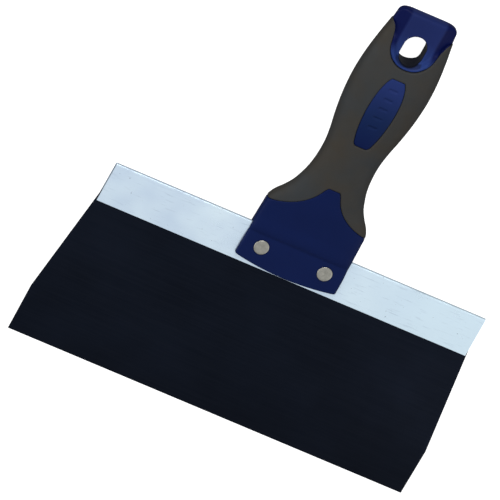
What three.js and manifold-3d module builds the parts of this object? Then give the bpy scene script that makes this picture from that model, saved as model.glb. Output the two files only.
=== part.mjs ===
// Drywall taping knife: a wide thin blade, its folded metal stiffener, a two-material moulded
// handle and the two rivets that hold them together. Millimetres. X runs along the working
// edge, +Y from that edge up the handle, +Z out of the front face. The origin is the middle of
// the working edge, and the blade's mid-plane is z = 0.

import * as THREE from "three";
import { mergeVertices } from "three/addons/utils/BufferGeometryUtils.js";
import Module from "manifold-3d";

const wasm = await Module();
wasm.setup();

// ---- driving dimensions ----------------------------------------------------------------------

const GAP = 0.3; // clearance where one piece is cut to fit round another
const CONTACT = 0.05; // clearance between faces that only touch
const FAR = 60; // beyond the object, for cutting solids

const BLADE = {
  halfEdge: 101.6, // an 8 inch working edge
  halfWidest: 102,
  widestY: 24,
  halfTop: 93.5,
  topY: 95.6,
  halfThickness: 0.25,
};

const CHANNEL = {
  halfWidth: 95.1,
  bottomY: 76.3,
  topY: 97,
  innerHalf: 0.3, // half of the space between the folded leaves
  outerHalf: 1.1,
};

const RIVET = {
  x: 16.3,
  y: 87.6,
  shank: 2,
  hole: 2.3,
  head: 3.6,
  headHeight: 0.5,
  bevel: 0.25,
  washer: 3.5,
  washerHeight: 0.7,
  clinch: 2.9,
  clinchHeight: 0.9,
  sides: 24,
};

const HANDLE = {
  startY: 74,
  cornerY: 79.8, // lower corners of the bolster
  bow: 2.7, // how far its lower edge bows towards the working edge
  plateHalf: 3.1, // half-thickness over the blade
  topY: 224.6,
  endRadius: 3.5,
  endThinning: 1.2,
  skin: 2.5, // thickness of the soft grip over the core
  ringPoints: 32,
  ringPitch: 4.2,
  endRings: [0.45, 0.75, 0.93, 1], // shares of the end's rounding
};

const TANG = { startY: 100, topY: 218.6 }; // the core's stem inside the soft grip
const SLOT = { topY: 97.6, half: CHANNEL.outerHalf + GAP };
const HOLE = { y: 206.6, halfWidth: 5.5, halfLength: 7.5 };
const SCOOP = { bottomY: 200.1, halfWidth: 8.3, half: 3.8 }; // flat panels sunk round the hole
const BADGE = {
  bottomY: 153.9,
  topY: 191.8,
  bottomHalf: 4,
  topHalf: 3.3,
  bulge: 7.8, // half-width that its curved sides are drawn towards
  bulgeStart: 11,
  bulgeEnd: 6.5,
  corner: 1.1, // chamfer on its lower corners
};

// Right half of the soft grip's outline, with the points that its curves are drawn towards.
const GRIP = {
  side: 34, // past the handle's sides
  cowlTip: [2.8, 128.7],
  cowlShoulder: [4.1, 126.8],
  cowlPulls: [[7.3, 118.5], [14, 113.6]],
  cowlFoot: [26.5, 110.7],
  scoopCorner: [16.5, 216.9],
  scoopUpperPulls: [[12.8, 216.9], [12.2, 211.5]],
  scoopSide: [11.4, 207.5],
  scoopLowerPulls: [[10.6, 201.5], [6.5, 197.2]],
  scoopBottom: [0, 197.2],
};

// Half-width of the handle at each height: straight bolster, waisted neck, full belly, cap.
const WIDTH_STATIONS = [
  [74, 26.1], [95, 25.9], [107, 25.6], [111, 25.4], [115, 23.8], [119, 20.9], [123, 18.4],
  [127, 16.8], [132, 15.3], [140, 14.2], [147, 14.2], [154, 15.15], [162, 16.8], [170, 18.1],
  [178, 18.9], [186, 19.15], [194, 18.8], [202, 17.95], [210, 16.75], [216, 15.7], [224.6, 15],
];

// Half-thickness: a flat plate over the blade, rising to the belly and falling to the cap.
const THICKNESS_STATIONS = [
  [74, 3.1], [92.8, 3.1], [95, 3.7], [103, 4.2], [114, 5.1], [128, 6.2], [142, 6.8], [156, 7.4],
  [172, 8.1], [185, 8.3], [197, 7], [209, 5.3], [224.6, 4.2],
];

// Squareness of the cross-section: 2 is an ellipse and larger is closer to a rectangle.
const SQUARENESS_STATIONS = [
  [74, 22], [95, 18], [104, 8], [111, 3.6], [120, 2.6], [145, 2.3], [185, 2.3], [205, 2.8],
  [224.6, 3.6],
];

// ---- materials -------------------------------------------------------------------------------

const MATERIALS = {
  blade: { color: 0x10141c, roughness: 0.38, metalness: 0.9 },
  channel: { color: 0xc9d6e2, roughness: 0.35, metalness: 0.95 },
  core: { color: 0x141d4b, roughness: 0.42, metalness: 0 },
  grip: { color: 0x36363a, roughness: 0.75, metalness: 0 },
  rivet: { color: 0x86847c, roughness: 0.4, metalness: 0.9 },
};

const material = (slot) => new THREE.MeshStandardMaterial(MATERIALS[slot]);

// ---- solids ----------------------------------------------------------------------------------

function toSolid(geometry) {
  geometry.deleteAttribute("normal");
  geometry.deleteAttribute("uv");
  const merged = mergeVertices(geometry, 1e-5);
  return new wasm.Manifold(new wasm.Mesh({
    numProp: 3,
    vertProperties: new Float32Array(merged.attributes.position.array),
    triVerts: new Uint32Array(merged.index.array),
  }));
}

function toMesh(name, solid, slot) {
  const { vertProperties, triVerts } = solid.getMesh();
  const geometry = new THREE.BufferGeometry();
  geometry.setAttribute("position", new THREE.BufferAttribute(new Float32Array(vertProperties), 3));
  geometry.setIndex(new THREE.BufferAttribute(new Uint32Array(triVerts), 1));
  geometry.computeVertexNormals();
  const mesh = new THREE.Mesh(geometry, material(slot));
  mesh.name = name;
  return mesh;
}

// A plan outline, pushed through z from low to high.
function prism(shape, low, high, curveSegments = 8) {
  const depth = high - low;
  const geometry = new THREE.ExtrudeGeometry(shape, { depth, bevelEnabled: false, curveSegments });
  geometry.translate(0, 0, low);
  return toSolid(geometry);
}

const throughPrism = (shape, curveSegments) => prism(shape, -FAR, FAR, curveSegments);

// A turned body on an axis parallel to Z, from [radius, z] pairs given from low z to high z.
function turned(profile, x, y) {
  const points = profile.map(([radius, z]) => new THREE.Vector2(radius, z));
  const geometry = new THREE.LatheGeometry(points, RIVET.sides);
  geometry.rotateX(Math.PI / 2);
  geometry.translate(x, y, 0);
  return toSolid(geometry);
}

function boxSolid(halfX, lowY, highY, halfZ) {
  const geometry = new THREE.BoxGeometry(2 * halfX, highY - lowY, 2 * halfZ);
  geometry.translate(0, (lowY + highY) / 2, 0);
  return toSolid(geometry);
}

// ---- handle envelope -------------------------------------------------------------------------

// Smooth value of a station list at height y.
function along(stations, y) {
  const last = stations.length - 1;
  if (y <= stations[0][0]) return stations[0][1];
  if (y >= stations[last][0]) return stations[last][1];
  const i = stations.findIndex(([at]) => at > y) - 1;
  const [y0, v0] = stations[i];
  const [y1, v1] = stations[i + 1];
  const [yBefore, vBefore] = stations[Math.max(i - 1, 0)];
  const [yAfter, vAfter] = stations[Math.min(i + 2, last)];
  const span = y1 - y0;
  const slope0 = ((v1 - vBefore) / (y1 - yBefore)) * span;
  const slope1 = ((vAfter - v0) / (yAfter - y0)) * span;
  const t = (y - y0) / span;
  const blend = t * t * (3 - 2 * t);
  return v0 + (v1 - v0) * blend + slope0 * t * (1 - t) ** 2 - slope1 * t * t * (1 - t);
}

// How much of the end's rounding has been reached at height y, from 0 to 1.
function endFall(y) {
  const into = Math.max(0, (y - (HANDLE.topY - HANDLE.endRadius)) / HANDLE.endRadius);
  return 1 - Math.sqrt(Math.max(0, 1 - into * into));
}

// One cross-section of the handle, drawn in by inset all round.
function handleRing(y, inset) {
  const halfWidth = along(WIDTH_STATIONS, y) - HANDLE.endRadius * endFall(y) - inset;
  const halfThickness = along(THICKNESS_STATIONS, y) - HANDLE.endThinning * endFall(y) - inset;
  const power = 2 / along(SQUARENESS_STATIONS, y);
  const ring = [];
  for (let i = 0; i < HANDLE.ringPoints; i += 1) {
    const angle = (2 * Math.PI * i) / HANDLE.ringPoints;
    const c = Math.cos(angle);
    const s = Math.sin(angle);
    const x = halfWidth * Math.sign(c) * Math.abs(c) ** power;
    const z = halfThickness * Math.sign(s) * Math.abs(s) ** power;
    ring.push([x, y, z]);
  }
  return ring;
}

function ringHeights(lowY, highY) {
  const roundingStart = HANDLE.topY - HANDLE.endRadius;
  const bodyTop = Math.min(highY, roundingStart);
  const steps = Math.round((bodyTop - lowY) / HANDLE.ringPitch);
  const heights = [];
  for (let i = 0; i <= steps; i += 1) {
    heights.push(lowY + ((bodyTop - lowY) * i) / steps);
  }
  for (const share of HANDLE.endRings) {
    const y = roundingStart + share * HANDLE.endRadius;
    if (y <= highY) heights.push(y);
  }
  return heights;
}

// The closed skin of the handle between two heights, drawn in by inset.
function handleLoft(lowY, highY, inset) {
  const rings = ringHeights(lowY, highY).map((y) => handleRing(y, inset));
  const n = HANDLE.ringPoints;
  const positions = rings.flat(2);
  const index = [];
  for (let r = 0; r + 1 < rings.length; r += 1) {
    for (let i = 0; i < n; i += 1) {
      const a = r * n + i;
      const b = r * n + ((i + 1) % n);
      index.push(a, a + n, b, b, a + n, b + n);
    }
  }
  const top = (rings.length - 1) * n;
  for (let i = 1; i + 1 < n; i += 1) {
    index.push(0, i, i + 1);
    index.push(top, top + i + 1, top + i);
  }
  const geometry = new THREE.BufferGeometry();
  geometry.setAttribute("position", new THREE.Float32BufferAttribute(positions, 3));
  geometry.setIndex(index);
  return toSolid(geometry);
}

// ---- plan outlines ---------------------------------------------------------------------------

// Where the soft grip lies: above the bolster's pointed cowl, below the cap's scoop. A gap draws
// the outline in along both.
function gripOutline(gap) {
  const raised = ([x, y]) => [x, y + gap];
  const lowered = ([x, y]) => [x, y - gap];
  const outwards = ([x, y]) => [x + gap, y];
  const mirrored = ([x, y]) => [-x, y];
  const tip = raised(GRIP.cowlTip);
  const shoulder = outwards(GRIP.cowlShoulder);
  const [cowlHigh, cowlLow] = GRIP.cowlPulls.map(raised);
  const foot = raised(GRIP.cowlFoot);
  const corner = lowered(GRIP.scoopCorner);
  const [cornerPull, sidePull] = GRIP.scoopUpperPulls.map(outwards);
  const side = outwards(GRIP.scoopSide);
  const lowerPull = outwards(GRIP.scoopLowerPulls[0]);
  const bottomPull = lowered(GRIP.scoopLowerPulls[1]);
  const bottom = lowered(GRIP.scoopBottom);
  const shape = new THREE.Shape();
  const lineTo = (point) => shape.lineTo(...point);
  const curveTo = (...points) => shape.bezierCurveTo(...points.flat());
  shape.moveTo(...tip);
  lineTo(shoulder);
  curveTo(cowlHigh, cowlLow, foot);
  lineTo([GRIP.side, foot[1]]);
  lineTo([GRIP.side, corner[1]]);
  lineTo(corner);
  curveTo(lowered(cornerPull), sidePull, side);
  curveTo(lowerPull, bottomPull, bottom);
  curveTo(...[bottomPull, lowerPull, side].map(mirrored));
  curveTo(...[sidePull, lowered(cornerPull), corner].map(mirrored));
  lineTo([-GRIP.side, corner[1]]);
  lineTo([-GRIP.side, foot[1]]);
  lineTo(mirrored(foot));
  curveTo(...[cowlLow, cowlHigh, shoulder].map(mirrored));
  lineTo(mirrored(tip));
  return shape;
}

// A barrel-shaped pad, widest above its middle, with its lower corners cut.
function badgeOutline(grow) {
  const { bottomY, topY, bottomHalf, topHalf, corner } = BADGE;
  const low = bottomY - grow;
  const high = topY + grow;
  const foot = low + corner;
  const side = BADGE.bulge + grow;
  const bulgeLow = foot + BADGE.bulgeStart;
  const bulgeHigh = high - BADGE.bulgeEnd;
  const shape = new THREE.Shape();
  shape.moveTo(corner - bottomHalf - grow, low);
  shape.lineTo(bottomHalf - corner + grow, low);
  shape.lineTo(bottomHalf + grow, foot);
  shape.bezierCurveTo(side, bulgeLow, side, bulgeHigh, topHalf + grow, high);
  shape.lineTo(-topHalf - grow, high);
  shape.bezierCurveTo(-side, bulgeHigh, -side, bulgeLow, -bottomHalf - grow, foot);
  return shape;
}

function holeOutline() {
  const straight = HOLE.halfLength - HOLE.halfWidth;
  const shape = new THREE.Shape();
  shape.absarc(0, HOLE.y + straight, HOLE.halfWidth, 0, Math.PI, false);
  shape.absarc(0, HOLE.y - straight, HOLE.halfWidth, Math.PI, 2 * Math.PI, false);
  return shape;
}

// The flat panel round the hang hole, open towards the handle's end.
function scoopOutline() {
  const centreY = SCOOP.bottomY + SCOOP.halfWidth;
  const endY = HANDLE.topY + 1;
  const shape = new THREE.Shape();
  shape.absarc(0, centreY, SCOOP.halfWidth, Math.PI, 2 * Math.PI, false);
  shape.lineTo(SCOOP.halfWidth, endY);
  shape.lineTo(-SCOOP.halfWidth, endY);
  return shape;
}

function rivetHolePath(x) {
  const path = new THREE.Path();
  path.absarc(x, RIVET.y, RIVET.hole, 0, 2 * Math.PI, true);
  return path;
}

// Everything below the bolster's bowed lower edge.
function belowBolster() {
  const side = GRIP.side;
  const bowHalf = 26;
  const shape = new THREE.Shape();
  shape.moveTo(-side, HANDLE.startY - 1);
  shape.lineTo(side, HANDLE.startY - 1);
  shape.lineTo(side, HANDLE.cornerY);
  shape.lineTo(bowHalf, HANDLE.cornerY);
  shape.quadraticCurveTo(0, HANDLE.cornerY - 2 * HANDLE.bow, -bowHalf, HANDLE.cornerY);
  shape.lineTo(-side, HANDLE.cornerY);
  return shape;
}

// ---- pieces ----------------------------------------------------------------------------------

function blade() {
  const shape = new THREE.Shape();
  shape.moveTo(-BLADE.halfEdge, 0);
  shape.lineTo(BLADE.halfEdge / 2, 0);
  shape.lineTo(BLADE.halfEdge, 0);
  shape.lineTo(BLADE.halfWidest, BLADE.widestY);
  shape.lineTo(BLADE.halfTop, BLADE.topY);
  shape.lineTo(-BLADE.halfTop, BLADE.topY);
  shape.lineTo(-BLADE.halfWidest, BLADE.widestY);
  shape.holes.push(rivetHolePath(-RIVET.x), rivetHolePath(RIVET.x));
  return prism(shape, -BLADE.halfThickness, BLADE.halfThickness);
}

// A strip of sheet metal folded over the blade's upper edge.
function backingChannel() {
  const { halfWidth, bottomY, topY, innerHalf, outerHalf } = CHANNEL;
  const profile = new THREE.Shape();
  profile.moveTo(bottomY, -outerHalf);
  profile.lineTo(topY - outerHalf, -outerHalf);
  profile.absarc(topY - outerHalf, 0, outerHalf, -Math.PI / 2, Math.PI / 2, false);
  profile.lineTo(bottomY, outerHalf);
  profile.lineTo(bottomY, innerHalf);
  profile.lineTo(topY - outerHalf, innerHalf);
  profile.absarc(topY - outerHalf, 0, innerHalf, Math.PI / 2, -Math.PI / 2, true);
  profile.lineTo(bottomY, -innerHalf);
  const options = { depth: 2 * halfWidth, bevelEnabled: false, curveSegments: 8 };
  const geometry = new THREE.ExtrudeGeometry(profile, options);
  geometry.translate(0, 0, -halfWidth);
  const toYZX = new THREE.Matrix4().makeBasis(
    new THREE.Vector3(0, 1, 0),
    new THREE.Vector3(0, 0, 1),
    new THREE.Vector3(1, 0, 0),
  );
  geometry.applyMatrix4(toYZX);
  return toSolid(geometry).subtract(rivetHoles());
}

function rivetHoles() {
  const reach = HANDLE.plateHalf + 2;
  const profile = [[0, -reach], [RIVET.hole, -reach], [RIVET.hole, reach], [0, reach]];
  const cutter = (x) => turned(profile, x, RIVET.y);
  return cutter(-RIVET.x).add(cutter(RIVET.x));
}

// The hard moulding: forked bolster, tang inside the grip, badge pads and end cap.
function handleCore() {
  const envelope = handleLoft(HANDLE.startY, HANDLE.topY, 0);
  const tang = handleLoft(TANG.startY, TANG.topY, HANDLE.skin);
  return envelope
    .subtract(throughPrism(gripOutline(0), 12))
    .add(tang)
    .add(envelope.intersect(throughPrism(badgeOutline(0), 10)))
    .subtract(throughPrism(belowBolster(), 16))
    .subtract(boxSolid(FAR, HANDLE.startY - 1, SLOT.topY, SLOT.half))
    .subtract(throughPrism(holeOutline(), 8))
    .subtract(prism(scoopOutline(), SCOOP.half, FAR))
    .subtract(prism(scoopOutline(), -FAR, -SCOOP.half))
    .subtract(rivetHoles());
}

// The soft sleeve moulded round the tang, open over the badge pads.
function gripOvermould() {
  const envelope = handleLoft(HANDLE.startY, HANDLE.topY, 0);
  const cavity = handleLoft(TANG.startY, TANG.topY + GAP, HANDLE.skin - GAP);
  return envelope
    .intersect(throughPrism(gripOutline(GAP), 12))
    .subtract(cavity)
    .subtract(throughPrism(badgeOutline(GAP), 10));
}

function rivet(x) {
  const { shank, head, headHeight, bevel, clinch, clinchHeight, washerHeight } = RIVET;
  const seat = HANDLE.plateHalf + CONTACT;
  const top = seat + headHeight;
  const washerBack = -seat - washerHeight - CONTACT;
  const end = washerBack - clinchHeight;
  return turned([
    [0, end + clinchHeight / 2],
    [clinch / 3, end],
    [clinch - bevel, end],
    [clinch, end + bevel],
    [clinch, washerBack],
    [shank, washerBack],
    [shank, seat],
    [head, seat],
    [head, top - bevel],
    [head - bevel, top],
    [0, top],
  ], x, RIVET.y);
}

function washer(x) {
  const front = -HANDLE.plateHalf - CONTACT;
  const back = front - RIVET.washerHeight;
  return turned([
    [RIVET.hole, front],
    [RIVET.hole, back],
    [RIVET.washer, back],
    [RIVET.washer, front],
    [RIVET.hole, front],
  ], x, RIVET.y);
}

// ---- assembly --------------------------------------------------------------------------------

const knife = new THREE.Group();
knife.add(toMesh("blade", blade(), "blade"));
knife.add(toMesh("backing_channel", backingChannel(), "channel"));
knife.add(toMesh("handle_core", handleCore(), "core"));
knife.add(toMesh("grip_overmould", gripOvermould(), "grip"));
for (const [side, x] of [["left", -RIVET.x], ["right", RIVET.x]]) {
  knife.add(toMesh(`rivet_${side}`, rivet(x), "rivet"));
  knife.add(toMesh(`washer_${side}`, washer(x), "rivet"));
}

export default knife;
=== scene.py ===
import math

import bmesh
import bpy
import numpy as np
from mathutils import Matrix, Vector


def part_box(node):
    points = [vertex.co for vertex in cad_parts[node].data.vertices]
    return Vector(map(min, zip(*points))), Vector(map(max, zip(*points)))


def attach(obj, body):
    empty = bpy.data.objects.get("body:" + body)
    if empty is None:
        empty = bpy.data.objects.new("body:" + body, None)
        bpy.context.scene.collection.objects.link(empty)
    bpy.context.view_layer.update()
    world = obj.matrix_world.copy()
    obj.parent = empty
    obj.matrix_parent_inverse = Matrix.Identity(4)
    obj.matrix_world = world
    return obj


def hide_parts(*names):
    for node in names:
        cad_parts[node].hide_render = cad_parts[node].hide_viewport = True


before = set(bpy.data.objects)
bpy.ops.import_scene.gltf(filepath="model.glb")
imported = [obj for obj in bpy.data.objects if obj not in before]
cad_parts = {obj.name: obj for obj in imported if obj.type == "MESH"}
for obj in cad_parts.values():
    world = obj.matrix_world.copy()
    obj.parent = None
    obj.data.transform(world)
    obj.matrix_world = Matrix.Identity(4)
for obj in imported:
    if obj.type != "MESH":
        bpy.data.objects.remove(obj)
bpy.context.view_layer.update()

# The drywall taping knife in its row frame: X along the working edge, +Y up the handle, +Z out of
# the front face. Shapes are worked out in millimetres, and MM turns them into Blender's metres.
MM = 0.001
FAR = 40  # beyond the handle on every side
PITCH = 0.45  # grid step of the moulded pieces


def box_mm(node):
    low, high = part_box(node)
    return np.array(low) / MM, np.array(high) / MM


# ---- meshes ----------------------------------------------------------------------------------


def placed(name, mesh, material, node):
    """The piece made of a mesh, which rides on the body and stands for its CAD node."""
    piece = bpy.data.objects.new(name, mesh)
    bpy.context.collection.objects.link(piece)
    mesh.materials.append(material)
    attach(piece, "root")
    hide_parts(node)
    return piece


def add_piece(name, vertices, faces, material, node):
    """A piece from points in millimetres and faces of any size."""
    mesh = bpy.data.meshes.new(name)
    mesh.from_pydata((np.asarray(vertices) * MM).tolist(), [], [list(face) for face in faces])
    mesh.update()
    mesh.polygons.foreach_set("use_smooth", [True] * len(mesh.polygons))
    return placed(name, mesh, material, node)


def add_quad_piece(name, vertices, quads, material, node):
    """The same, for large meshes of quads."""
    mesh = bpy.data.meshes.new(name)
    mesh.vertices.add(len(vertices))
    mesh.vertices.foreach_set("co", (vertices * MM).astype(np.float32).ravel())
    mesh.loops.add(quads.size)
    mesh.loops.foreach_set("vertex_index", quads.astype(np.int32).ravel())
    mesh.polygons.add(len(quads))
    mesh.polygons.foreach_set("loop_start", np.arange(0, quads.size, 4, dtype=np.int32))
    mesh.polygons.foreach_set("use_smooth", np.ones(len(quads), dtype=bool))
    mesh.update(calc_edges=True)
    mesh.validate()
    return placed(name, mesh, material, node)


# ---- distance fields -------------------------------------------------------------------------
# Each moulded piece is the inside of a field, negative within the piece, in millimetres.


def smooth_max(a, b, radius):
    """The larger of two fields, with the edge between them rounded."""
    blend = np.maximum(radius - np.abs(a - b), 0) / radius
    return np.maximum(a, b) + blend * blend * radius / 4


def smooth_min(a, b, radius):
    return -smooth_max(-a, -b, radius)


def along(stations, y):
    """Smooth value of a station list at heights y."""
    table = np.array(stations, dtype=float)
    at, value = table[:, 0], table[:, 1]
    slope = np.gradient(value, at)
    slope[0] = slope[-1] = 0
    y = np.clip(y, at[0], at[-1])
    i = np.clip(np.searchsorted(at, y, side="right") - 1, 0, len(at) - 2)
    span = at[i + 1] - at[i]
    t = (y - at[i]) / span
    blend = t * t * (3 - 2 * t)
    rise = value[i] + (value[i + 1] - value[i]) * blend
    return rise + span * (slope[i] * t * (1 - t) ** 2 - slope[i + 1] * t * t * (1 - t))


def bezier(start, *controls_and_end, steps=24):
    """Points of a quadratic or cubic Bezier after its start."""
    points = np.array([start, *controls_and_end], dtype=float)
    out = []
    for t in np.linspace(0, 1, steps + 1)[1:]:
        level = points
        while len(level) > 1:
            level = level[:-1] * (1 - t) + level[1:] * t
        out.append(level[0])
    return out


def outline_distance(outline, x, y):
    """Signed distance in plan to a closed outline, negative inside."""
    shape = x.shape
    px, py = x.ravel(), y.ravel()
    nearest = np.full(px.shape, 1e9)
    inside = np.zeros(px.shape, dtype=bool)
    for (ax, ay), (bx, by) in zip(outline, np.roll(outline, -1, axis=0)):
        ex, ey = bx - ax, by - ay
        length = ex * ex + ey * ey
        if length < 1e-12:
            continue
        t = np.clip(((px - ax) * ex + (py - ay) * ey) / length, 0, 1)
        nearest = np.minimum(nearest, (px - ax - t * ex) ** 2 + (py - ay - t * ey) ** 2)
        if ay != by:
            crosses = ((ay > py) != (by > py)) & (px < ax + (py - ay) / (by - ay) * ex)
            inside ^= crosses
    distance = np.sqrt(nearest)
    return np.where(inside, -distance, distance).reshape(shape)


def surface_nets(field, low, high, pitch):
    """Quads round the zero level of field(x, y, z), with their points drawn onto that level."""
    axes = [np.arange(low[k] - 2 * pitch, high[k] + 3 * pitch, pitch) for k in range(3)]
    x, y, z = np.meshgrid(*axes, indexing="ij", sparse=True)
    value = np.broadcast_to(field(x, y, z), [len(axis) for axis in axes]).astype(np.float32)
    inside = value < 0
    cells = np.array(value.shape) - 1
    total = np.zeros((*cells, 3), dtype=np.float32)
    count = np.zeros(cells, dtype=np.float32)
    for axis in range(3):
        others = [k for k in range(3) if k != axis]
        for du in (0, 1):
            for dv in (0, 1):
                start = [0, 0, 0]
                start[others[0]], start[others[1]] = du, dv
                near = tuple(slice(s, s + n) for s, n in zip(start, cells))
                start[axis] = 1
                far = tuple(slice(s, s + n) for s, n in zip(start, cells))
                crossed = inside[near] != inside[far]
                step = np.where(crossed, value[near] / (value[near] - value[far] + 1e-12), 0)
                total[..., axis] += np.where(crossed, step, 0)
                total[..., others[0]] += crossed * du
                total[..., others[1]] += crossed * dv
                count += crossed
    used = count > 0
    number = np.full(cells, -1, dtype=np.int64)
    number[used] = np.arange(used.sum())
    corner = np.argwhere(used)
    origin = np.array([axis[0] for axis in axes])
    points = origin + (corner + total[used] / count[used][:, None]) * pitch
    quads = []
    for axis in range(3):
        u, v = [(1, 2), (2, 0), (0, 1)][axis]
        ahead = np.roll(inside, -1, axis)
        core = [slice(1, -1)] * 3
        crossed = (inside != ahead)[tuple(core)]
        at = np.argwhere(crossed) + 1
        around = []
        for du, dv in ((0, 0), (-1, 0), (-1, -1), (0, -1)):
            cell = at.copy()
            cell[:, u] += du
            cell[:, v] += dv
            around.append(number[tuple(cell.T)])
        ring = np.stack(around, axis=1)
        flip = inside[tuple(at.T)]
        quads.append(np.where(flip[:, None], ring, ring[:, ::-1]))
    quads = np.concatenate(quads)
    return settle(field, points, quads, pitch)


def settle(field, points, quads, pitch, rounds=4):
    """Evens out the points along the surface and moves them onto the field's zero level."""
    small = 0.02
    edges = np.concatenate([quads[:, [k, (k + 1) % 4]] for k in range(4)])
    degree = np.bincount(edges[:, 0], minlength=len(points)) * 1.0
    for turn in range(rounds):
        if turn < rounds - 2:
            mean = np.stack([
                np.bincount(edges[:, 0], points[edges[:, 1], k], len(points)) for k in range(3)
            ], axis=1) / degree[:, None]
            points = points * 0.4 + mean * 0.6
        x, y, z = points.T
        value = field(x, y, z)
        slope = np.stack([
            field(x + small, y, z) - field(x - small, y, z),
            field(x, y + small, z) - field(x, y - small, z),
            field(x, y, z + small) - field(x, y, z - small),
        ], axis=1) / (2 * small)
        steep = np.maximum((slope**2).sum(axis=1), 0.05)
        move = -slope * (value / steep)[:, None]
        length = np.linalg.norm(move, axis=1, keepdims=True)
        points = points + move * np.minimum(1, 0.6 * pitch / np.maximum(length, 1e-9))
    return points, quads


# ---- handle shape ----------------------------------------------------------------------------

core_low, core_high = box_mm("handle_core")
TOP = core_high[1]
BOW = 2.7  # how far the bolster's lower edge bows towards the working edge
CORNER_Y = core_low[1] + BOW  # lower corners of the bolster
BOW_HALF = 26  # half of the width over which it bows
GRIP_PROUD = 0.22  # how far the soft grip stands over the hard moulding
SEAM = 0.12  # width of the parting line
END_RADIUS = 3.5
SKIN = 2.4  # thickness of the soft grip

TANG_LOW = 100  # where the core's stem starts inside the soft grip
TANG_SHORT = 5  # how far below the handle's end it stops
PLATE_ROUNDING = 1.4  # on the edges of the flat bolster
PLATE_ENDS, PLATE_FADE = 87, 14  # where the flat plate starts turning oval, and over what height
END_ROUNDING, END_THINNING = 2.2, 1.2

rivet_low, rivet_high = box_mm("rivet_right")
RIVET_X = (rivet_low[0] + rivet_high[0]) / 2
RIVET_Y = (rivet_low[1] + rivet_high[1]) / 2
RIVET_HOLE = 2.3  # radius of the holes for the rivets
channel_low, channel_high = box_mm("backing_channel")
SLOT_HALF = channel_high[2] + 0.06  # half-width of the bolster's fork
SLOT_TOP = channel_high[1] + 0.3

# Stations up the handle, each with its height and its half-width or half-thickness.
WIDTHS = [
    (74, 26.1), (95, 25.9), (107, 25.6), (111, 25.4), (115, 23.8), (119, 20.9), (123, 18.4),
    (127, 16.8), (132, 15.3), (140, 14.2), (147, 14.2), (154, 15.15), (162, 16.8), (170, 18.1),
    (178, 18.9), (186, 19.15), (194, 18.8), (202, 17.95), (210, 16.75), (216, 15.7), (224.6, 15),
]
HEIGHTS = [
    (74, 3.1), (92.4, 3.1), (92.9, 3.05), (95, 3.8), (103, 4.2), (114, 5.1), (128, 6.2),
    (142, 6.8), (156, 7.4), (172, 8.1), (185, 8.28), (197, 7), (209, 5.3), (224.6, 4.2),
]
# Power of the superellipse at each height: 2 is an ellipse and larger is closer to a rectangle.
SQUARENESS = [(74, 4), (111, 3.6), (120, 2.6), (145, 2.3), (185, 2.3), (205, 2.8), (224.6, 3.6)]


def envelope(x, y, z):
    """The whole handle's skin: a plate with rounded edges that turns into a superellipse."""
    into = np.clip((y - (TOP - END_RADIUS)) / END_RADIUS, 0, 1)
    fall = 1 - np.sqrt(1 - into * into)
    width = along(WIDTHS, y) - END_RADIUS * fall
    height = along(HEIGHTS, y) - END_THINNING * fall
    power = along(SQUARENESS, y)
    a = np.maximum(np.abs(x) / width, 1e-6)
    b = np.maximum(np.abs(z) / height, 1e-6)
    size = (a**power + b**power) ** (1 / power)
    steep = size ** (1 - power) * np.sqrt(
        (a ** (power - 1) / width) ** 2 + (b ** (power - 1) / height) ** 2
    )
    oval = (size - 1) / np.maximum(steep, 0.01)
    plate = smooth_max(np.abs(x) - width, np.abs(z) - height, PLATE_ROUNDING)
    share = np.clip((y - PLATE_ENDS) / PLATE_FADE, 0, 1)
    side = plate + (oval - plate) * share * share * (3 - 2 * share)
    return smooth_max(side, y - TOP, END_ROUNDING)


def mirrored(right_half):
    """A closed outline from its right half, listed upwards."""
    left = [(-px, py) for px, py in reversed(right_half)]
    return np.array([tuple(p) for p in right_half] + left)


def grip_outline():
    """Where the soft grip lies: above the bolster's pointed cowl, below the cap's scoop."""
    cowl_foot, scoop_top, scoop_bottom = 110.9, 216.9, 197.2
    half = [(2.8, 128.7), (4.1, 126.8)]
    half += bezier((4.1, 126.8), (7.3, 118.5), (14, 113.6), (26.5, cowl_foot))
    half += [(FAR, cowl_foot), (FAR, scoop_top), (16.5, scoop_top)]
    half += bezier((16.5, scoop_top), (12.8, scoop_top), (12.2, 211.5), (11.4, 207.5))
    half += bezier((11.4, 207.5), (10.6, 201.5), (6.5, scoop_bottom), (0, scoop_bottom))
    return mirrored(half[:-1] + [(0.001, scoop_bottom)])


def badge_outline():
    """A barrel-shaped pad, widest above its middle, with its corners cut."""
    low, high, corner, bulge = 153.9, 191.8, 1.1, 7.8
    half = [(4 - corner, low), (4, low + corner)]
    half += bezier((4, low + corner), (bulge, low + 12), (bulge, high - 6.5), (3.5, high - 0.4))
    half += [(3.1, high)]
    return mirrored(half)


GRIP_OUTLINE = grip_outline()
BADGE_OUTLINE = badge_outline()
# Marks sunk in the badge: middle, pitch, half of the row's length, and half of each one's size.
DASHES = {"y": 176, "pitch": 5.2, "reach": 10.4, "half_length": 1.6, "half_width": 0.6}
HOLE = {"y": 206.6, "width": 5.5, "straight": 2}
PANEL = {"y": 208.4, "half_width": 8.3, "height": 3.7}  # flat panel round the hang hole
RIM_SLOPE, EAR_SLOPE = 1.3, -0.35  # rise of the panel's surroundings at its foot and at its sides
CAP_LOW = 160  # between the bolster and the cap


def capsule(x, y, centre_y, half_straight, radius):
    return np.hypot(x, np.maximum(np.abs(y - centre_y) - half_straight, 0)) - radius


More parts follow.
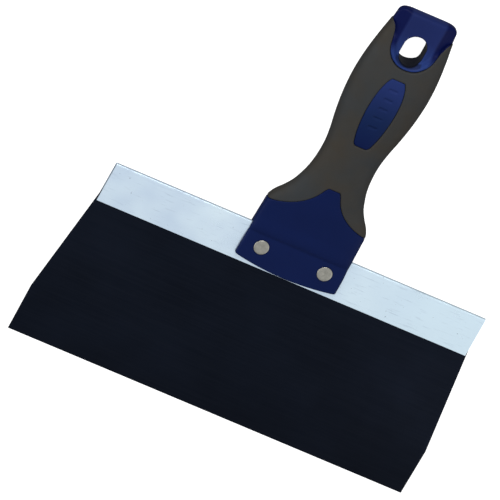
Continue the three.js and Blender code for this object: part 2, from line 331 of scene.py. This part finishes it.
def cap_panel(x, y, z):
    """The cap's flat panel round the hang hole: its rim rises towards the grip and, nearer the
    handle's end, its sides fall away."""
    below = np.minimum(y - PANEL["y"], 0)
    from_panel = np.maximum(np.hypot(x, below) - PANEL["half_width"], 0)
    towards_end = np.clip((y - 204) / 8, 0, 1)
    blend = towards_end * towards_end * (3 - 2 * towards_end)
    slope = RIM_SLOPE + (EAR_SLOPE - RIM_SLOPE) * blend
    surface = PANEL["height"] + slope * from_panel
    faces = (np.abs(z) - surface) / np.sqrt(1 + slope * slope)
    return np.where(y > CAP_LOW, faces, -FAR)


def badge_dashes(x, y):
    """Short shallow dashes sunk along the badge."""
    from_middle = y - DASHES["y"]
    nearest = DASHES["pitch"] * np.round(from_middle / DASHES["pitch"])
    nearest = np.clip(nearest, -DASHES["reach"], DASHES["reach"])
    across = np.maximum(np.abs(x) - DASHES["half_length"], 0)
    return np.hypot(across, from_middle - nearest) - DASHES["half_width"]


def sleeve_depth(y):
    """Thickness of the soft grip, which thins out towards its tips beside the cap."""
    return SKIN - 1.6 * np.clip((y - 205) / 8, 0, 1)


def core_field(x, y, z):
    skin = envelope(x, y, z)
    grip = outline_distance(GRIP_OUTLINE, *np.broadcast_arrays(x, y))
    badge = outline_distance(BADGE_OUTLINE, *np.broadcast_arrays(x, y))
    shell = smooth_max(skin + GRIP_PROUD, cap_panel(x, y, z), 0.5)
    near_middle = np.clip((11 - np.abs(x)) / 3, 0, 1)
    rounding = 0.35 + np.where(y > CAP_LOW, 1.15, 0) * near_middle
    shell = smooth_max(shell, SEAM / 2 - grip, rounding)
    tang = np.maximum(skin + sleeve_depth(y), np.maximum(TANG_LOW - y, y - TOP + TANG_SHORT))
    under_sleeve = np.maximum(tang, grip + 0.3)
    tang = np.minimum(under_sleeve, smooth_max(tang, cap_panel(x, y, z) + 0.3, 0.3))
    sunk = 0.45 * np.clip(0.5 - badge_dashes(x, y) / 0.5, 0, 1)
    pad = smooth_max(skin + GRIP_PROUD + sunk, badge + SEAM / 2, 0.5)
    solid = np.minimum(np.minimum(shell, tang), pad)
    bow = CORNER_Y - BOW * (1 - (x / BOW_HALF) ** 2)
    solid = smooth_max(solid, bow - y, 0.5)
    slot = np.maximum(np.abs(z) - SLOT_HALF, y - SLOT_TOP)
    solid = np.maximum(solid, -slot)
    hole = capsule(x, y, HOLE["y"], HOLE["straight"], HOLE["width"])
    solid = smooth_max(solid, -hole, 0.5)
    bolts = np.hypot(np.abs(x) - RIVET_X, y - RIVET_Y) - RIVET_HOLE
    return np.maximum(solid, -bolts)


def grip_field(x, y, z):
    skin = envelope(x, y, z)
    region = outline_distance(GRIP_OUTLINE, *np.broadcast_arrays(x, y))
    badge = outline_distance(BADGE_OUTLINE, *np.broadcast_arrays(x, y))
    rounding = 0.55 - 0.35 * np.clip((y - 210) / 4, 0, 1)
    sleeve = smooth_max(skin, region + SEAM / 2, rounding)
    sleeve = smooth_max(sleeve, SEAM / 2 - badge, 0.55)
    return np.maximum(sleeve, -(skin + sleeve_depth(y) - 0.1))


# ---- metal shapes ----------------------------------------------------------------------------


def turned(profile, x, y, sides=96):
    """A turned body on an axis parallel to Z, from (radius, z) pairs, closed on the axis."""
    vertices, faces = [], []
    rings = []
    for radius, z in profile:
        if radius < 1e-6:
            rings.append([len(vertices)])
            vertices.append((x, y, z))
            continue
        ring = []
        for k in range(sides):
            angle = 2 * math.pi * k / sides
            ring.append(len(vertices))
            vertices.append((x + radius * math.cos(angle), y + radius * math.sin(angle), z))
        rings.append(ring)
    for low, high in zip(rings, rings[1:]):
        for k in range(sides):
            a, b = low[k % len(low)], low[(k + 1) % sides % len(low)]
            c, d = high[(k + 1) % sides % len(high)], high[k % len(high)]
            corners = list(dict.fromkeys((a, b, c, d)))
            if len(corners) > 2:
                faces.append(corners)
    return vertices, faces


def closed_outwards(piece):
    """Joins the points that coincide and turns every face of a closed piece outwards."""
    work = bmesh.new()
    work.from_mesh(piece.data)
    bmesh.ops.remove_doubles(work, verts=work.verts, dist=1e-7)
    bmesh.ops.recalc_face_normals(work, faces=work.faces)
    work.to_mesh(piece.data)
    work.free()
    return piece


def round_edges(piece, width, segments=3, angle=30):
    """Rounds the sharp edges of a piece by a bevel of width millimetres."""
    work = bmesh.new()
    work.from_mesh(piece.data)
    sharp = [
        e for e in work.edges
        if len(e.link_faces) == 2 and e.calc_face_angle(0) > math.radians(angle)
    ]
    bmesh.ops.bevel(
        work, geom=sharp, offset=width * MM, segments=segments, profile=0.5, affect="EDGES",
        clamp_overlap=True,
    )
    work.to_mesh(piece.data)
    work.free()
    piece.data.set_sharp_from_angle(angle=math.radians(35))
    return piece


def blade_outline(widest, top):
    edge = widest - 0.4
    widest_y = 24
    shoulder = widest - 8.5
    return [
        (-edge, 0), (edge, 0), (widest, widest_y), (shoulder, top), (-shoulder, top),
        (-widest, widest_y),
    ]


def add_blade(material):
    low, high = box_mm("blade")
    outline = blade_outline(high[0], high[1])
    n = len(outline)
    vertices = [(x, y, low[2]) for x, y in outline] + [(x, y, high[2]) for x, y in outline]
    faces = [tuple(range(n))[::-1], tuple(range(n, 2 * n))]
    faces += [(k, (k + 1) % n, n + (k + 1) % n, n + k) for k in range(n)]
    blade = add_piece("blade_sheet", vertices, faces, material, "blade")
    return round_edges(closed_outwards(blade), 0.09, segments=2)


def channel_profile(low, high):
    """The folded strip's section as (y, z) pairs, counter-clockwise."""
    outer, inner = high[2], 0.3
    bend_y = high[1] - outer
    bottom = low[1]
    lip = 0.12  # rounding of the leaves' lower edges
    section = [(bottom + lip, -outer), (bend_y, -outer)]
    for k in range(1, 16):
        angle = -math.pi / 2 + math.pi * k / 16
        section.append((bend_y + outer * math.cos(angle), outer * math.sin(angle)))
    section += [(bend_y, outer), (bottom + lip, outer), (bottom, outer - lip)]
    section += [(bottom, inner), (bend_y, inner)]
    for k in range(1, 8):
        angle = math.pi / 2 - math.pi * k / 8
        section.append((bend_y + inner * math.cos(angle), inner * math.sin(angle)))
    section += [(bend_y, -inner), (bottom, -inner), (bottom, -outer + lip)]
    return section


def ripple(x, y):
    """Slight waves that folding leaves in the sheet, none under the bolster or at the ends."""
    free = np.clip((np.abs(x) - 28) / 12, 0, 1) * np.clip((94 - np.abs(x)) / 8, 0, 1)
    waves = np.sin(x * 0.16 + 0.6) + 0.6 * np.sin(x * 0.37 + y * 0.12) + 0.4 * np.sin(y * 0.5)
    return -0.03 * free * (1 + 0.5 * waves)


def add_channel(material):
    low, high = box_mm("backing_channel")
    section = channel_profile(low, high)
    bend_foot = high[1] - 1.2
    stations = np.linspace(low[0], high[0], 161)
    n = len(section)
    vertices = []
    for x in stations:
        for y, z in section:
            on_outer_face = abs(z) > high[2] / 2 and y < bend_foot
            shift = ripple(x, y) if on_outer_face else 0
            vertices.append((x, y, z + math.copysign(1, z) * shift))
    faces = []
    for s in range(len(stations) - 1):
        for k in range(n):
            a, b = s * n + k, s * n + (k + 1) % n
            faces.append((a, b, b + n, a + n))
    faces.append(tuple(range(n)))
    faces.append(tuple(range(len(vertices) - n, len(vertices)))[::-1])
    channel = add_piece(
        "folded_channel", vertices, faces, material, "backing_channel"
    )
    closed_outwards(channel)
    channel.data.set_sharp_from_angle(angle=math.radians(30))
    return channel


def add_rivet(side, material):
    low, high = box_mm(f"rivet_{side}")
    washer_low, washer_high = box_mm(f"washer_{side}")
    x, y = (low[:2] + high[:2]) / 2
    head = (high[0] - low[0]) / 2
    shank, clinch = 2, 2.9
    seat = -washer_high[2]
    top = high[2]
    back = low[2]
    tail = washer_low[2] - 0.02
    profile = [
        (0, back + 0.55), (0.9, back + 0.35), (1.3, back + 0.02), (1.6, back), (2.2, back + 0.1),
        (2.7, back + 0.45), (clinch, tail), (shank, tail), (shank, seat + 0.02),
        (head - 0.1, seat + 0.02), (head, seat + 0.1), (head, top - 0.2),
        (head - 0.05, top - 0.1), (head - 0.22, top - 0.02), (head - 1.2, top),
        (0.7, top - 0.01), (0.55, top - 0.06), (0.3, top - 0.08), (0, top - 0.05),
    ]
    vertices, faces = turned(profile, x, y)
    rivet = add_piece(
        f"rivet_{side}_turned", vertices, faces, material, f"rivet_{side}"
    )
    closed_outwards(rivet)
    rivet.data.set_sharp_from_angle(angle=math.radians(40))
    return rivet


def add_washer(side, material):
    low, high = box_mm(f"washer_{side}")
    x, y = (low[:2] + high[:2]) / 2
    outer = (high[0] - low[0]) / 2
    inner, edge = 2.05, 0.12
    section = [
        (inner, low[2] + edge), (inner + edge, low[2]), (outer - edge, low[2]),
        (outer, low[2] + edge), (outer, high[2] - edge), (outer - edge, high[2]),
        (inner + edge, high[2]), (inner, high[2] - edge), (inner, low[2] + edge),
    ]
    vertices, faces = turned(section, x, y)
    washer = add_piece(
        f"washer_{side}_ring", vertices, faces, material, f"washer_{side}"
    )
    closed_outwards(washer)
    washer.data.set_sharp_from_angle(angle=math.radians(40))
    return washer


# ---- materials -------------------------------------------------------------------------------


class Surface:
    """A node material, built up by short calls."""

    def __init__(self, name, **settings):
        self.material = bpy.data.materials.new(name)
        self.material.use_nodes = True
        self.nodes = self.material.node_tree.nodes
        self.links = self.material.node_tree.links
        self.shader = self.nodes["Principled BSDF"]
        for socket, value in settings.items():
            self.shader.inputs[socket.replace("_", " ")].default_value = value
        coordinates = self.nodes.new("ShaderNodeTexCoord")
        self.place = coordinates.outputs["Object"]
        self.facing = coordinates.outputs["Normal"]

    def stretched(self, scale):
        mapping = self.nodes.new("ShaderNodeMapping")
        mapping.inputs["Scale"].default_value = scale
        self.links.new(self.place, mapping.inputs["Vector"])
        return mapping.outputs["Vector"]

    def noise(self, size_mm, detail=3, roughness=0.5, stretch=None):
        """Noise whose features are about size_mm across."""
        node = self.nodes.new("ShaderNodeTexNoise")
        node.inputs["Scale"].default_value = 1 / (size_mm * MM)
        node.inputs["Detail"].default_value = detail
        node.inputs["Roughness"].default_value = roughness
        place = self.stretched(stretch) if stretch else self.place
        self.links.new(place, node.inputs["Vector"])
        return node.outputs["Fac"]

    def rise(self, vector, axis, low, high, both_ways=False):
        """A share that rises from 0 to 1 as a component of vector goes from low to high."""
        parts = self.nodes.new("ShaderNodeSeparateXYZ")
        self.links.new(vector, parts.inputs["Vector"])
        value = parts.outputs[axis]
        if both_ways:
            size = self.nodes.new("ShaderNodeMath")
            size.operation = "ABSOLUTE"
            self.links.new(value, size.inputs[0])
            value = size.outputs["Value"]
        node = self.nodes.new("ShaderNodeMapRange")
        node.inputs["From Min"].default_value = low
        node.inputs["From Max"].default_value = high
        self.links.new(value, node.inputs["Value"])
        return node.outputs["Result"]

    def up(self, low_mm, high_mm):
        return self.rise(self.place, "Y", low_mm * MM, high_mm * MM)

    def outwards(self, low_mm, high_mm):
        return self.rise(self.place, "X", low_mm * MM, high_mm * MM, both_ways=True)

    def ramp(self, value, *stops):
        """Maps value through (position, colour) stops; a number stands for a grey."""
        node = self.nodes.new("ShaderNodeValToRGB")
        elements = node.color_ramp.elements
        while len(elements) < len(stops):
            elements.new(0.5)
        for element, (position, colour) in zip(elements, stops):
            if not isinstance(colour, tuple):
                colour = (colour, colour, colour)
            element.position = position
            element.color = (*colour, 1)
        self.links.new(value, node.inputs["Fac"])
        return node.outputs["Color"]

    def mix(self, share, a, b, blend="MIX"):
        node = self.nodes.new("ShaderNodeMix")
        node.data_type = "RGBA"
        node.blend_type = blend
        for socket, value in ((0, share), (6, a), (7, b)):
            if isinstance(value, (int, float)):
                node.inputs[socket].default_value = value
            elif isinstance(value, tuple):
                node.inputs[socket].default_value = (*value, 1)
            else:
                self.links.new(value, node.inputs[socket])
        return node.outputs[2]

    def drive(self, socket, output):
        self.links.new(output, self.shader.inputs[socket])

    def bump(self, *layers):
        """Layers of (height output, depth in millimetres), the coarsest first."""
        normal = None
        for height, depth in layers:
            node = self.nodes.new("ShaderNodeBump")
            node.inputs["Distance"].default_value = depth * MM
            self.links.new(height, node.inputs["Height"])
            if normal:
                self.links.new(normal, node.inputs["Normal"])
            normal = node.outputs["Normal"]
        self.links.new(normal, self.shader.inputs["Normal"])


def srgb(red, green, blue):
    """Linear colour from 0 to 255 display values."""
    def linear(value):
        share = value / 255
        return share / 12.92 if share <= 0.04045 else ((share + 0.055) / 1.055) ** 2.4
    return tuple(linear(value) for value in (red, green, blue))


def blued_steel():
    s = Surface("blued spring steel", Metallic=1.0)
    drift = s.noise(34, detail=4)
    colour = s.ramp(drift, (0.3, srgb(18, 22, 31)), (0.7, srgb(22, 27, 38)))
    grain = s.noise(0.5, detail=4, stretch=(0.02, 1, 1))
    colour = s.mix(s.ramp(grain, (0.35, 0), (0.75, 0.35)), colour, srgb(30, 34, 44))
    s.drive("Base Color", colour)
    s.drive("Roughness", s.ramp(s.noise(12, detail=5), (0.3, 0.34), (0.7, 0.46)))
    s.bump((s.noise(60, detail=1), 0.05), (grain, 0.004))
    return s.material


def bright_sheet():
    s = Surface("bright rolled sheet", Metallic=0.8)
    drift = s.noise(26, detail=2)
    colour = s.ramp(drift, (0.3, srgb(202, 220, 240)), (0.7, srgb(226, 243, 254)))
    # Painted reflection: the sheet's colour lightens from X 0 to 70 mm, standing in for the
    # brighter light it mirrors on that side.
    colour = s.mix(s.rise(s.place, "X", 0, 70 * MM), colour, srgb(222, 242, 254))
    streaks = s.noise(1.1, detail=4, roughness=0.6, stretch=(0.11, 1, 1))
    colour = s.mix(s.ramp(streaks, (0.58, 0), (0.72, 0.34)), colour, srgb(158, 172, 192))
    specks = s.noise(1.3, detail=1)
    colour = s.mix(s.ramp(specks, (0.765, 0), (0.79, 0.55)), colour, srgb(60, 66, 74))
    s.drive("Base Color", colour)
    grain = s.noise(0.35, detail=3, stretch=(0.02, 1, 1))
    s.drive("Roughness", s.ramp(s.noise(9, detail=4), (0.3, 0.26), (0.7, 0.38)))
    s.bump((s.noise(30, detail=1), 0.08), (streaks, 0.02), (grain, 0.004))
    return s.material


def moulded_plastic():
    s = Surface("dark blue moulded plastic", Specular_IOR_Level=0.06)
    drift = s.noise(26, detail=3)
    # Painted light and shade up the handle: the colour darkens from the bolster to the badge's
    # foot, then lightens over the badge's top and the cap, standing in for how light falls on these
    # slopes.
    colour = s.ramp(
        s.up(120, 216), (0, srgb(9, 23, 65)), (0.31, srgb(3, 15, 57)), (0.52, srgb(14, 31, 69)),
        (0.7, srgb(29, 43, 93)), (0.86, srgb(32, 50, 103)), (0.97, srgb(25, 36, 83)),
    )
    colour = s.mix(1, colour, s.ramp(drift, (0.3, 0.86), (0.7, 1)), blend="MULTIPLY")
    # Painted shade: the cap's sides beyond the panel (|x| past 8.4 to 9.6 mm, Y above 203 to 208
    # mm) are darkened as if turned away from the light.
    painted_ear_shade = s.mix(s.outwards(8.4, 9.6), (0, 0, 0), s.up(203, 208))
    colour = s.mix(painted_ear_shade, colour, srgb(5, 13, 58))
    # Painted shade: the upright faces inside the hang hole (|x| under 6.2 mm, Y 198.6 to 214.6 mm)
    # are coloured near-black as the shade within the hole.
    flat = s.rise(s.facing, "Z", 0.45, 0.8, both_ways=True)
    upright = s.ramp(flat, (0, 1), (1, 0))
    near_hole = s.mix(s.outwards(6.2, 6.6), s.up(198.2, 198.6), (0, 0, 0))
    near_hole = s.mix(s.up(214.6, 215), near_hole, (0, 0, 0))
    painted_hole_shade = s.mix(near_hole, (0, 0, 0), upright)
    s.drive("Base Color", s.mix(painted_hole_shade, colour, srgb(12, 14, 24)))
    s.drive("Roughness", s.ramp(s.noise(5, detail=4), (0.3, 0.36), (0.7, 0.50)))
    s.bump((s.noise(7, detail=2), 0.02), (s.noise(0.32, detail=3), 0.012))
    return s.material


def soft_rubber():
    s = Surface("dark grey soft grip", Specular_IOR_Level=0.2)
    drift = s.noise(18, detail=4)
    colour = s.ramp(drift, (0.3, srgb(48, 44, 38)), (0.7, srgb(41, 44, 46)))
    dust = s.noise(1.1, detail=5, roughness=0.7)
    colour = s.mix(s.ramp(dust, (0.62, 0), (0.8, 0.25)), colour, srgb(74, 72, 70))
    s.drive("Base Color", colour)
    s.drive("Roughness", s.ramp(s.noise(6, detail=4), (0.3, 0.58), (0.7, 0.74)))
    s.bump((s.noise(5, detail=3), 0.03), (s.noise(0.4, detail=3), 0.03))
    return s.material


def dull_nickel(name):
    s = Surface(name, Metallic=1.0)
    drift = s.noise(1.8, detail=5, roughness=0.65)
    colour = s.ramp(drift, (0.3, srgb(150, 149, 140)), (0.7, srgb(172, 170, 161)))
    s.drive("Base Color", colour)
    s.drive("Roughness", s.ramp(s.noise(0.9, detail=4), (0.3, 0.28), (0.7, 0.46)))
    s.bump((s.noise(0.9, detail=4), 0.02),)
    return s.material


# ---- pieces ----------------------------------------------------------------------------------


def add_moulding(name, field, node, material):
    low, high = box_mm(node)
    points, quads = surface_nets(field, low, high, PITCH)
    a, b, c = points[quads[:, 0]], points[quads[:, 1]], points[quads[:, 2]]
    if np.einsum("ij,ij->", a, np.cross(b, c)) < 0:
        quads = quads[:, ::-1]
    return add_quad_piece(name, points, quads, material, node)


add_moulding("core_moulding", core_field, "handle_core", moulded_plastic())
add_moulding("grip_sleeve", grip_field, "grip_overmould", soft_rubber())
add_blade(blued_steel())
add_channel(bright_sheet())
rivet_surface = dull_nickel("dull nickel rivet")
washer_surface = dull_nickel("dull nickel washer")
for side in ("left", "right"):
    add_rivet(side, rivet_surface)
    add_washer(side, washer_surface)


# ---- camera, floor and light -----------------------------------------------------------------

VIEW = Vector((-0.273, 0.386, 0.881)).normalized()  # from the knife towards the camera
AIM = Vector((-19.4, 82.75, 0)) * MM
LENS = 1500
PIXELS_PER_MM = 2.189  # scale of the picture, which is 500 pixels wide


def add_camera():
    right = Vector((0.886, 0.458, 0.074))
    right = (right - VIEW * right.dot(VIEW)).normalized()
    up = VIEW.cross(right)
    distance = LENS / 36 * 500 / PIXELS_PER_MM * MM
    data = bpy.data.cameras.new("camera")
    data.lens = LENS
    data.sensor_width = 36
    data.clip_end = 50
    camera = bpy.data.objects.new("camera", data)
    place = Matrix((right, up, VIEW)).transposed().to_4x4()
    place.translation = AIM + VIEW * distance
    camera.matrix_world = place
    bpy.context.collection.objects.link(camera)
    bpy.context.scene.camera = camera


def add_floor():
    """A pale floor that the working edge and the handle's belly both touch."""
    belly_y, belly_z = 183 * MM, box_mm("grip_overmould")[0][2] * MM
    slope = math.atan2(belly_z + 0.25 * MM, belly_y)
    mesh = bpy.data.meshes.new("floor")
    size = 1.5
    mesh.from_pydata(
        [(-size, -size, 0), (size, -size, 0), (size, size, 0), (-size, size, 0)], [], [(0, 1, 2, 3)]
    )
    floor = bpy.data.objects.new("floor", mesh)
    floor.rotation_euler.x = slope
    floor.location.z = -0.5 * MM
    bpy.context.collection.objects.link(floor)
    material = bpy.data.materials.new("pale floor")
    material.use_nodes = True
    shader = material.node_tree.nodes["Principled BSDF"]
    shader.inputs["Base Color"].default_value = (0.4, 0.4, 0.4, 1)
    shader.inputs["Roughness"].default_value = 0.9
    shader.inputs["Specular IOR Level"].default_value = 0
    shader.inputs["Emission Color"].default_value = (1, 1, 1, 1)
    shader.inputs["Emission Strength"].default_value = 0.95
    mesh.materials.append(material)
    floor.visible_diffuse = False  # the knife is lit from above only
    floor.visible_glossy = False


def add_light(name, place, size, power):
    data = bpy.data.lights.new(name, "AREA")
    data.shape = "SQUARE"
    data.size = size
    data.energy = power
    light = bpy.data.objects.new(name, data)
    light.location = place
    direction = AIM - Vector(place)
    light.rotation_euler = direction.to_track_quat("-Z", "Y").to_euler()
    bpy.context.collection.objects.link(light)


def add_world(overhead, around, below):
    """Soft studio light by direction: from straight overhead, from round the sides, from below."""
    world = bpy.data.worlds.new("studio")
    world.use_nodes = True
    nodes, links = world.node_tree.nodes, world.node_tree.links
    direction = nodes.new("ShaderNodeTexCoord")
    parts = nodes.new("ShaderNodeSeparateXYZ")
    ramp = nodes.new("ShaderNodeValToRGB")
    stops = ((0, below), (0.44, below), (0.52, around), (0.7, around), (0.95, overhead))
    elements = ramp.color_ramp.elements
    while len(elements) < len(stops):
        elements.new(0.5)
    for element, (position, strength) in zip(elements, stops):
        element.position = position
        element.color = (strength * 0.97, strength * 0.985, strength, 1)
    half = nodes.new("ShaderNodeMath")
    half.operation = "MULTIPLY_ADD"
    half.inputs[1].default_value = 0.5
    half.inputs[2].default_value = 0.5
    links.new(direction.outputs["Generated"], parts.inputs["Vector"])
    links.new(parts.outputs["Z"], half.inputs[0])
    links.new(half.outputs["Value"], ramp.inputs["Fac"])
    links.new(ramp.outputs["Color"], nodes["Background"].inputs["Color"])
    bpy.context.scene.world = world


add_camera()
add_floor()
add_world(0.78, 0.42, 0.28)
add_light("key", (-0.3, 1.3, 0.8), 0.8, 16)
add_light("side", (-1.3, -0.1, 0.8), 1.0, 8)
add_light("fill", (1.3, -0.3, 0.8), 1.0, 3)
bpy.context.scene.view_settings.view_transform = "Standard"
